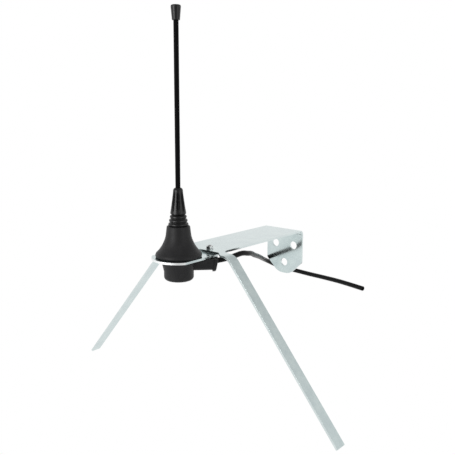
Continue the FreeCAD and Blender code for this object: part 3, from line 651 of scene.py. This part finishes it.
@dataclass
class StudioSet:
    """Camera, light and pale floor."""

    camera_at: tuple = (305.0, -441.4, 124.4)
    camera_turn: float = 40.19
    camera_down: float = 11.07
    camera_roll: float = 0.21
    focal_pixels: float = 611.05
    frame_pixels: int = 455
    sensor_width: float = 36.0
    clip_metres: tuple = (0.01, 50.0)
    floor_level: float = -420.0
    floor_half: float = 1000.0
    floor_colour: tuple = (0.86, 0.86, 0.86, 1.0)
    key_at: tuple = (-150.0, -1400.0, 250.0)
    key_width: float = 700.0
    key_power: float = 8.0
    side_at: tuple = (1000.0, -120.0, 220.0)
    side_width: float = 600.0
    side_power: float = 1.0
    day_level: float = 0.45
    overhead_limits: tuple = (0.1, 0.95)
    overhead_shade: float = 0.45
    room_side: tuple = (0.68, -0.73, 0.05)
    room_limits: tuple = (0.74, 0.95)
    room_shade: float = 0.58

    def build(self) -> None:
        """Make the whole set."""
        self.make_camera()
        self.make_floor()
        self.make_lights()
        self.make_world()
        bpy.context.scene.view_settings.view_transform = "Standard"

    def make_camera(self) -> None:
        """Stand the camera where the photo was taken from."""
        turn, down = math.radians(self.camera_turn), math.radians(self.camera_down)
        level = math.cos(down)
        right = Vector((math.cos(turn), math.sin(turn), 0))
        ahead = Vector((-math.sin(turn) * level, math.cos(turn) * level, -math.sin(down)))
        up = right.cross(ahead)
        roll = Matrix.Rotation(math.radians(self.camera_roll), 3, "Z")
        stand = Matrix((right, up, -ahead)).transposed() @ roll
        data = bpy.data.cameras.new("camera")
        data.sensor_width = self.sensor_width
        data.lens = data.sensor_width * self.focal_pixels / self.frame_pixels
        data.clip_start, data.clip_end = self.clip_metres
        camera = bpy.data.objects.new("camera", data)
        camera.matrix_world = Matrix.Translation(Vector(self.camera_at) * MM) @ stand.to_4x4()
        bpy.context.scene.collection.objects.link(camera)
        bpy.context.scene.camera = camera

    def make_floor(self) -> None:
        """Lay a pale floor well below the antenna, which hangs on a wall."""
        mesh = bpy.data.meshes.new("floor")
        half, level = self.floor_half * MM, self.floor_level * MM
        ways = ((-1, -1), (1, -1), (1, 1), (-1, 1))
        mesh.from_pydata([(x * half, y * half, level) for x, y in ways], [], [(0, 1, 2, 3)])
        floor = bpy.data.objects.new("floor", mesh)
        bpy.context.scene.collection.objects.link(floor)
        material = bpy.data.materials.new("pale_floor")
        material.use_nodes = True
        book = NodeBook(material.node_tree)
        matt = book.node("ShaderNodeBsdfDiffuse", inputs={"Color": self.floor_colour})
        white = book.node("ShaderNodeEmission", inputs={"Color": WHITE, "Strength": 1.0})
        shown = book.node("ShaderNodeMixShader", inputs={0: self.seen(book), 1: matt, 2: white})
        book.node("ShaderNodeOutputMaterial", inputs={"Surface": shown})
        mesh.materials.append(material)

    @staticmethod
    def seen(book: NodeBook) -> Shade:
        """Return 1 on rays that show the background: straight, mirrored or through glass."""
        kinds = ("Is Camera Ray", "Is Glossy Ray", "Is Transmission Ray")
        rays = (book.node("ShaderNodeLightPath", output=kind) for kind in kinds)
        straight, mirrored, through = rays
        return book.node("ShaderNodeClamp", inputs={"Value": straight + mirrored + through})

    def make_lights(self) -> None:
        """Stand a wide soft lamp to the left of the camera and a weaker one to its right."""
        self.add_lamp("key_lamp", self.key_at, self.key_width, self.key_power)
        self.add_lamp("side_lamp", self.side_at, self.side_width, self.side_power)

    @staticmethod
    def add_lamp(name: str, at: Sequence[float], width: float, power: float) -> None:
        """Add one square lamp aimed at the antenna.

        Args:
            name: Name of the lamp.
            at: Its place in millimetres.
            width: Its side in millimetres.
            power: Its power in watts.
        """
        data = bpy.data.lights.new(name, "AREA")
        data.size = width * MM
        data.energy = power
        lamp = bpy.data.objects.new(name, data)
        target = Vector((0, -REACH, 0)) * MM
        place = Vector(at) * MM
        aim = (target - place).to_track_quat("-Z", "Y").to_matrix().to_4x4()
        lamp.matrix_world = Matrix.Translation(place) @ aim
        bpy.context.scene.collection.objects.link(lamp)

    def make_world(self) -> None:
        """Surround the antenna with white that is softer overhead and shaded on the room's side."""
        world = bpy.data.worlds.new("studio")
        bpy.context.scene.world = world
        world.use_nodes = True
        book = NodeBook(world.node_tree)
        way = book.node("ShaderNodeTexCoord", output="Generated")
        height = book.node("ShaderNodeSeparateXYZ", inputs={"Vector": way}, output="Z")
        overhead = height.eased(*self.overhead_limits) * self.overhead_shade
        sides = {0: way, 1: self.room_side}
        facing = book.node("ShaderNodeVectorMath", {"operation": "DOT_PRODUCT"}, sides, "Value")
        room = facing.eased(*self.room_limits) * self.room_shade
        straight = book.node("ShaderNodeLightPath", output="Is Camera Ray")
        mirrored = book.node("ShaderNodeLightPath", output="Is Glossy Ray")
        shown = book.node("ShaderNodeClamp", inputs={"Value": straight + mirrored})
        level = straight + mirrored * (1.0 - overhead) * (1.0 - room)
        level = level + (1.0 - shown) * self.day_level
        light = book.node("ShaderNodeBackground", inputs={"Color": WHITE, "Strength": level})
        book.node("ShaderNodeOutputWorld", inputs={"Surface": light})


@dataclass
class FeedCable:
    """The free cable, from the hub's outlet to its cut end."""

    exit_point: tuple = (19.867, -114.427, 15.1)
    second_point: tuple = (24.793, -109.327, 16.350)
    radius: float = 1.95
    tube_length: float = 251.5
    cut_length: float = 2.0
    cut_soft: float = 0.2
    cut_lap: float = 0.3
    cut_taper: float = 0.05
    cut_sectors: int = 32
    cut_sharp: float = 50.0
    bared_radius: float = 1.2
    recess: float = 1.1
    # The points after the first two are (right, back, up) from the whip axis at the plate's top
    # face. The first six of them stand up to 1.6 mm off the solid's route, to follow the photo.
    route: tuple = (
        (26.7, 32.4, -2.6),
        (27.4, 39.4, -1.8),
        (27.2, 46.8, -3.6),
        (24.0, 54.5, -5.3),
        (19.2, 63.9, -9.0),
        (12.6, 75.6, -12.9),
        (4.8, 89.1, -17.3),
        (-4.0, 103.6, -22.2),
        (-13.4, 118.4, -27.3),
        (-21.6, 131.0, -31.6),
        (-23.6, 141.4, -36.0),
        (-20.8, 151.0, -41.3),
        (-13.8, 158.2, -44.6),
        (-4.2, 161.8, -46.3),
        (8.2, 162.2, -47.0),
        (26.8, 158.8, -46.3),
        (49.2, 153.3, -45.3),
        (71.5, 147.9, -45.6),
    )

    def points(self) -> np.ndarray:
        """Return the control points in the row frame, in millimetres."""
        rest = np.array(self.route) + (0.0, -REACH, PLATE_RISE)
        return np.vstack([self.exit_point, self.second_point, rest])

    def build(self) -> None:
        """Lay the cable on one smooth spline and close it with its cut end."""
        points = self.points()
        ahead = points[-1] - points[-2]
        ahead /= np.linalg.norm(ahead)
        tip = points[-1].copy()
        points[-1] = tip - ahead * self.cut_length
        curve = bpy.data.curves.new("cable_run", "CURVE")
        curve.dimensions = "3D"
        curve.bevel_depth = self.radius * MM
        curve.bevel_resolution = 6
        curve.resolution_u = 16
        curve.use_fill_caps = True
        spline = curve.splines.new("NURBS")
        spline.points.add(len(points) - 1)
        weighted = np.column_stack([points * MM, np.ones(len(points))])
        spline.points.foreach_set("co", weighted.ravel())
        spline.order_u = 3
        spline.use_endpoint_u = True
        cable = bpy.data.objects.new("cable_run", curve)
        bpy.context.scene.collection.objects.link(cable)
        seated(cable, JACKET, "cable")
        cut = self.make_cut(tip, ahead)
        tuple(np.array(self.exit_point) * MM)

    def make_cut(self, tip: np.ndarray, ahead: np.ndarray) -> bpy.types.Object:
        """Make the square-cut end: a jacket ring round a core that sits back in it.

        The profile is turned about the cable's own line: p = tip + z ahead + r (cos a u + sin a v).

        Args:
            tip: End of the cable in millimetres.
            ahead: Unit vector along its last run.

        Returns:
            The end piece.
        """
        outer, inner, soft = self.radius, self.bared_radius, self.cut_soft
        low = -self.cut_length
        lapped = low - self.cut_lap
        profile = chained(
            path((0.0, lapped), (outer - self.cut_taper, lapped), (outer, low), (outer, -soft)),
            arc((outer, -soft), (outer - soft, 0.0), soft, Turn.LEFT, 5),
            path((outer - soft, 0.0), (inner, 0.0), (inner, -self.recess), (0.0, -self.recess)),
        )
        side = np.cross(ahead, (0.0, 0.0, 1.0))
        side /= np.linalg.norm(side)
        axes = np.stack([side, np.cross(ahead, side), ahead])
        axes[1] *= np.sign(np.linalg.det(axes))
        grid = turned_grid(profile, self.cut_sectors, (0, 0, 0)) @ axes + tip
        return seated(skinned("cable_cut_end", grid, False, self.cut_sharp), JACKET)


@dataclass
class WhipSet:
    """The whip: sleeve, tip cap and the ringed and fluted boot."""

    whip_top: float = 173.7
    core_top: float = 171.1
    sleeve_foot: float = 33.0
    sleeve_radius: float = 1.78
    sleeve_soft: float = 0.25
    sleeve_sectors: int = 40
    core_clear: float = 1.05
    cap_length: float = 9.9
    cap_radius: float = 3.5
    cap_foot: float = 2.75
    cap_round: float = 1.1
    cap_soft: float = 0.35
    cap_sectors: int = 56
    fit: float = FIT
    bell_height: float = BELL_HEIGHT
    boot_length: float = 27.5
    boot_foot: float = 7.55
    boot_waist: float = 5.75
    boot_tip: float = 3.55
    boot_round: float = 1.5
    boot_fall: float = 2.2
    boot_sectors: int = 240
    boot_sharp: float = 32.0
    ferrule_radius: float = 3.4
    ring_count: int = 3
    ring_pitch: float = 2.75
    ring_depth: float = 0.8
    flute_count: int = 8
    flute_length: float = 15.0
    flute_width: float = 2.4
    flute_depth: float = 1.5
    base: tuple = (0.0, -REACH, SEAT_RISE)

    def build(self) -> None:
        """Make the sleeve, the cap and the boot."""
        self.make_sleeve()
        self.make_cap()
        self.make_boot()

    def make_sleeve(self) -> None:
        """Turn the sleeve: a long thin tube with softened ends."""
        outer, inner, soft = self.sleeve_radius, self.core_clear, self.sleeve_soft
        low, high = self.sleeve_foot, self.core_top
        profile = chained(
            path((inner, low), (outer - soft, low)),
            arc((outer - soft, low), (outer, low + soft), soft, Turn.LEFT, 4),
            line((outer, low + soft), (outer, high - soft), 40),
            arc((outer, high - soft), (outer - soft, high), soft, Turn.LEFT, 4),
            path((outer - soft, high), (inner, high)),
        )
        tube = skinned("whip_tube", turned_grid(profile, self.sleeve_sectors, self.base), True)
        seated(tube, SLEEVE, "whip_sleeve")

    def make_cap(self) -> None:
        """Turn the tip cap: a tapered plug with a rounded top and a soft lower edge."""
        low, top = self.whip_top - self.cap_length, self.whip_top
        bore, foot, soft = self.sleeve_radius + self.fit, self.cap_foot, self.cap_soft
        shoulder = (self.cap_radius, top - self.cap_round)
        crown = (self.cap_radius - self.cap_round, top)
        profile = chained(
            path((bore, low), (foot - soft, low)),
            arc((foot - soft, low), (foot, low + soft), soft, Turn.LEFT, 5),
            line((foot, low + soft), shoulder, 12),
            arc(shoulder, crown, self.cap_round, Turn.LEFT, 10),
            line(crown, (0.0, top), 4),
            path((0.0, self.core_top), (bore, self.core_top)),
        )
        cap = skinned("whip_cap", turned_grid(profile, self.cap_sectors, self.base), True)
        seated(cap, RUBBER, "tip_cap")

    def boot_profile(self) -> np.ndarray:
        """Return the boot's closed half outline: rings, cone, round top and stepped bore.

        The rings follow r(s) = foot - taper s - depth cos(pi s / pitch)^4, s up from the bell.
        """
        pitch, depth = self.ring_pitch, self.ring_depth
        ringed = self.ring_count * pitch
        rise = np.linspace(0, ringed, self.ring_count * 24 + 1)
        taper = (self.boot_foot - self.boot_waist) / ringed
        grooved = self.boot_foot - taper * rise - depth * np.cos(np.pi * rise / pitch) ** 4
        rings = np.stack([grooved, self.bell_height + rise], axis=1)
        waist = (self.boot_waist, self.bell_height + ringed + depth)
        top = self.bell_height + self.boot_length
        shoulder = (self.boot_tip, top - self.boot_fall)
        crown = (self.boot_tip - self.boot_round, top)
        crown_radius = (self.boot_round ** 2 + self.boot_fall ** 2) / (2 * self.boot_round)
        bore, chamber = self.sleeve_radius + self.fit, self.ferrule_radius + self.fit
        return chained(
            rings,
            line(rings[-1], waist, 4),
            line(waist, shoulder, 70),
            arc(shoulder, crown, crown_radius, Turn.LEFT, 10),
            path(
                crown,
                (bore, top),
                (bore, self.sleeve_foot),
                (chamber, self.sleeve_foot),
                (chamber, self.bell_height),
            ),
        )

    def make_boot(self) -> None:
        """Turn the boot and press the flutes in.

        A flute lowers the radius by depth max(0, 1 - (2 s / length)^4 - (2 t / width)^2),
        with s along the boot from the flute's middle and t round it from the flute's centre line.
        """
        grid = turned_grid(self.boot_profile(), self.boot_sectors, (0, 0, 0))
        radius, angle = polar(grid)
        spread = 2 * np.pi / self.flute_count
        across = radius * (np.mod(angle + spread / 2, spread) - spread / 2)
        ring_top = self.bell_height + self.ring_count * self.ring_pitch
        along = grid[..., 2] - (ring_top + self.bell_height + self.boot_length) / 2
        hollow = 1 - (2 * along / self.flute_length) ** 4 - (2 * across / self.flute_width) ** 2
        outside = radius > self.ferrule_radius + 2 * self.fit
        lowered = radius - self.flute_depth * np.clip(hollow, 0, None) * outside
        grid[..., :2] *= (lowered / radius)[..., None]
        boot = skinned("fluted_boot", grid + np.array(self.base), True, self.boot_sharp)
        seated(boot, RUBBER, "whip_boot")


@dataclass
class BellBase:
    """The bell-shaped base under the boot."""

    height: float = BELL_HEIGHT
    rim_radius: float = 16.85
    rim_height: float = 1.9
    rim_tuck: float = 1.55
    rim_curve: float = 1.48
    crown_curve: float = 4.1
    flare: tuple = (15.2, 4.1)
    flare_curve: float = 26.0
    neck: tuple = (9.3, 15.3)
    shoulder_radius: float = 8.45
    shoulder_round: float = 0.8
    pocket: tuple = (9.1, 2.6)
    bore: float = 3.05
    bore_top: float = 9.5
    chamber: float = 3.6
    seal_inner: float = 11.0
    seal_outer: float = 14.2
    seal_height: float = 1.2
    sectors: int = 160
    base: tuple = (0.0, -REACH, SEAT_RISE)

    def build(self) -> None:
        """Turn the bell from its half outline."""
        foot = (self.rim_radius - self.rim_tuck, 0.0)
        rim = (self.rim_radius, self.rim_height)
        shoulder = (self.shoulder_radius, self.height - self.shoulder_round)
        top = (self.shoulder_radius - self.shoulder_round, self.height)
        profile = chained(
            arc(foot, rim, self.rim_curve, Turn.LEFT, 10),
            arc(rim, self.flare, self.crown_curve, Turn.LEFT, 14),
            arc(self.flare, self.neck, self.flare_curve, Turn.RIGHT, 40),
            line(self.neck, shoulder, 14),
            arc(shoulder, top, self.shoulder_round, Turn.LEFT, 8),
            path(
                top,
                (self.chamber, self.height),
                (self.chamber, self.bore_top),
                (self.bore, self.bore_top),
                (self.bore, self.pocket[1]),
                self.pocket,
                (self.pocket[0], 0.0),
                (self.seal_inner, 0.0),
                (self.seal_inner, self.seal_height),
                (self.seal_outer, self.seal_height),
                (self.seal_outer, 0.0),
            ),
        )
        bell = skinned("moulded_bell", turned_grid(profile, self.sectors, self.base), True)
        seated(bell, MOULDED, "base_bell")


@dataclass
class EarthFastening:
    """The small screw, washer and nut on the plate behind the step."""

    at: tuple = (5.4, 27.5 - REACH, PLATE_RISE)
    sheet: float = SHEET
    screw_radius: float = 1.3
    head_radius: float = 2.5
    head_height: float = 1.5
    head_round: float = 0.7
    tip_chamfer: float = 0.4
    thread_pitch: float = 0.5
    thread_depth: float = 0.28
    thread_start: float = 0.2
    screw_sectors: int = 48
    screw_sharp: float = 35.0
    nut_flats: float = 4.9
    nut_height: float = 2.0
    nut_chamfer: float = 0.35
    nut_foot_share: float = 0.94
    nut_end_share: float = 0.96
    nut_turn: float = 46.0
    nut_sectors: int = 96
    nut_sharp: float = 24.0
    washer_height: float = 0.4
    screw_end: float = 0.7
    fit: float = FIT

    def build(self) -> None:
        """Make the threaded screw and the chamfered nut, and dress the washer."""
        self.make_screw()
        self.make_nut()
        dressed(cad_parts["earth_washer"], STEEL)

    def make_screw(self) -> None:
        """Turn the screw and cut its thread.

        On the shank r = R - depth |2 frac(z / pitch - a / 2 pi) - 1|.
        """
        top = self.washer_height + self.nut_height + self.screw_end
        low = -self.sheet
        head = low - self.head_height
        wide, thin = self.head_radius, self.screw_radius
        soft, tip = self.head_round, self.tip_chamfer
        profile = chained(
            line((0.0, head), (wide - soft, head), 3),
            arc((wide - soft, head), (wide, head + soft), soft, Turn.LEFT, 6),
            path((wide, head + soft), (wide, low), (thin, low)),
            line((thin, low), (thin, top - tip), 90),
            line((thin, top - tip), (thin - tip, top), 4),
            line((thin - tip, top), (0.0, top), 3),
        )
        grid = turned_grid(profile, self.screw_sectors, (0, 0, 0))
        radius, angle = polar(grid)
        phase = np.mod(grid[..., 2] / self.thread_pitch - angle / (2 * np.pi), 1.0)
        shank = (grid[..., 2] > low + self.thread_start) & (radius > thin - tip)
        lowered = radius - self.thread_depth * np.abs(2 * phase - 1) * shank
        share = np.divide(lowered, radius, out=np.ones_like(radius), where=radius > 0)
        grid[..., :2] *= share[..., None]
        screw = skinned("threaded_screw", grid + np.array(self.at), False, self.screw_sharp)
        seated(screw, STEEL, "earth_screw")

    def make_nut(self) -> None:
        """Make the hexagon nut, with a cone at both ends.

        Between the cones r(a) = flats / 2 / cos(a from the nearest flat).
        """
        bore, half, chamfer = self.screw_radius + self.fit, self.nut_flats / 2, self.nut_chamfer
        low, high = self.washer_height, self.washer_height + self.nut_height
        levels = np.array([low, low, low + chamfer, high - chamfer, high, high, low])
        foot, end = half * self.nut_foot_share, half * self.nut_end_share
        limits = np.array([foot, end, np.inf, np.inf, end, bore, bore])
        angle = np.linspace(0, 2 * np.pi, self.nut_sectors, endpoint=False)
        turn = angle - math.radians(self.nut_turn)
        from_flat = np.mod(turn + np.pi / 6, np.pi / 3) - np.pi / 6
        hexagon = half / np.cos(from_flat)
        radius = np.minimum(hexagon[None, :], limits[:, None])
        height = levels[:, None] + 0 * radius
        grid = np.stack([radius * np.cos(angle), radius * np.sin(angle), height], axis=2)
        nut = skinned("hexagon_nut", grid + np.array(self.at), True, self.nut_sharp)
        seated(nut, STEEL, "earth_nut")


@dataclass
class SheetBracket:
    """The folded bracket, kept as the solid with its sheared edges eased."""

    edge: float = 0.22
    sheet: float = SHEET
    sheet_play: float = 0.01
    middle_play: float = 1.0
    facing_limit: float = -0.99
    seat_reach: float = 22.0
    # share of the cut faces' pale colour, partly a painted highlight, given to cuts off the seat's
    # rim
    other_cut_highlight: float = 0.25

    def build(self) -> None:
        """Ease the sheet's edges, mark where it was cut and plate it."""
        piece = eased_copy("bracket", "folded_bracket", self.edge)
        self.mark_cuts(piece.data)
        seated(piece, ZINC, "bracket")

    def mark_cuts(self, mesh: bpy.types.Mesh) -> None:
        """Mark the faces that the shears cut: those with an edge as long as the sheet is thick.

        The step's face meets such edges too. It is left out, as the face that looks towards -Y on
        the middle line. The seat's rim gets the full pale colour, partly a painted highlight, and
        the other cuts get a smaller share of it.

        Args:
            mesh: The bracket's mesh.
        """
        points = read_array(mesh.vertices, "co", 3) / MM
        ends = read_array(mesh.edges, "vertices", 2, np.int32)
        length = np.linalg.norm(points[ends[:, 0]] - points[ends[:, 1]], axis=1)
        thick = np.abs(length - self.sheet) < self.sheet_play * self.sheet
        used = read_array(mesh.loops, "edge_index", 1, np.int32)[:, 0]
        first = read_array(mesh.polygons, "loop_start", 1, np.int32)[:, 0]
        cut = np.logical_or.reduceat(thick[used], first)
        facing = read_array(mesh.polygons, "normal", 3)[:, 1] < self.facing_limit
        centre = read_array(mesh.polygons, "center", 3) / MM
        cut &= ~(facing & (np.abs(centre[:, 0]) < self.middle_play))
        # the seat's rim gets the full painted highlight, the other cuts a share of it
        on_seat = np.hypot(centre[:, 0], centre[:, 1] + REACH) < self.seat_reach
        share = cut * np.where(on_seat, 1.0, self.other_cut_highlight)
        mark = mesh.attributes.new(CUT_EDGE_HIGHLIGHT, "FLOAT", "FACE")
        mark.data.foreach_set("value", share.astype(np.float32))
        LOG.info("bracket: %d of %d faces are cut edges", cut.sum(), len(cut))


@dataclass
class HubUnder:
    """The hub cover under the seat."""

    edge: float = 0.3

    def build(self) -> None:
        """Ease the cover's moulded edges."""
        seated(eased_copy("hub_cover", "outlet_cover", self.edge), MOULDED, "hub_cover")


@dataclass
class InnerPieces:
    """The pieces that are closed in: seal, feed-through and the cable's end."""

    finishes: Mapping[str, Finish] = field(default_factory=lambda: {
        "base_seal": RUBBER,
        "whip_core": STEEL,
        "whip_ferrule": BRASS,
        "mounting_bush": BRASS,
        "feed_insulator": INSULATION,
        "feed_pin": BRASS,
        "lock_washer": STEEL,
        "earth_tag": BRASS,
        "clamp_nut": STEEL,
        "cable_tail": JACKET,
        "tail_core": INSULATION,
        "tail_wire": BRASS,
    })

    def build(self) -> None:
        """Dress each of them."""
        for node, finish in self.finishes.items():
            dressed(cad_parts[node], finish)


def main() -> None:
    """Build the set and every sub-assembly in order."""
    logging.basicConfig(level=logging.INFO, format="%(name)s %(message)s")
    parts = (
        StudioSet(),
        FeedCable(),
        SheetBracket(),
        WhipSet(),
        BellBase(),
        HubUnder(),
        EarthFastening(),
        InnerPieces(),
    )
    for part in parts:
        part.build()


if __name__ == "__main__":
    main()
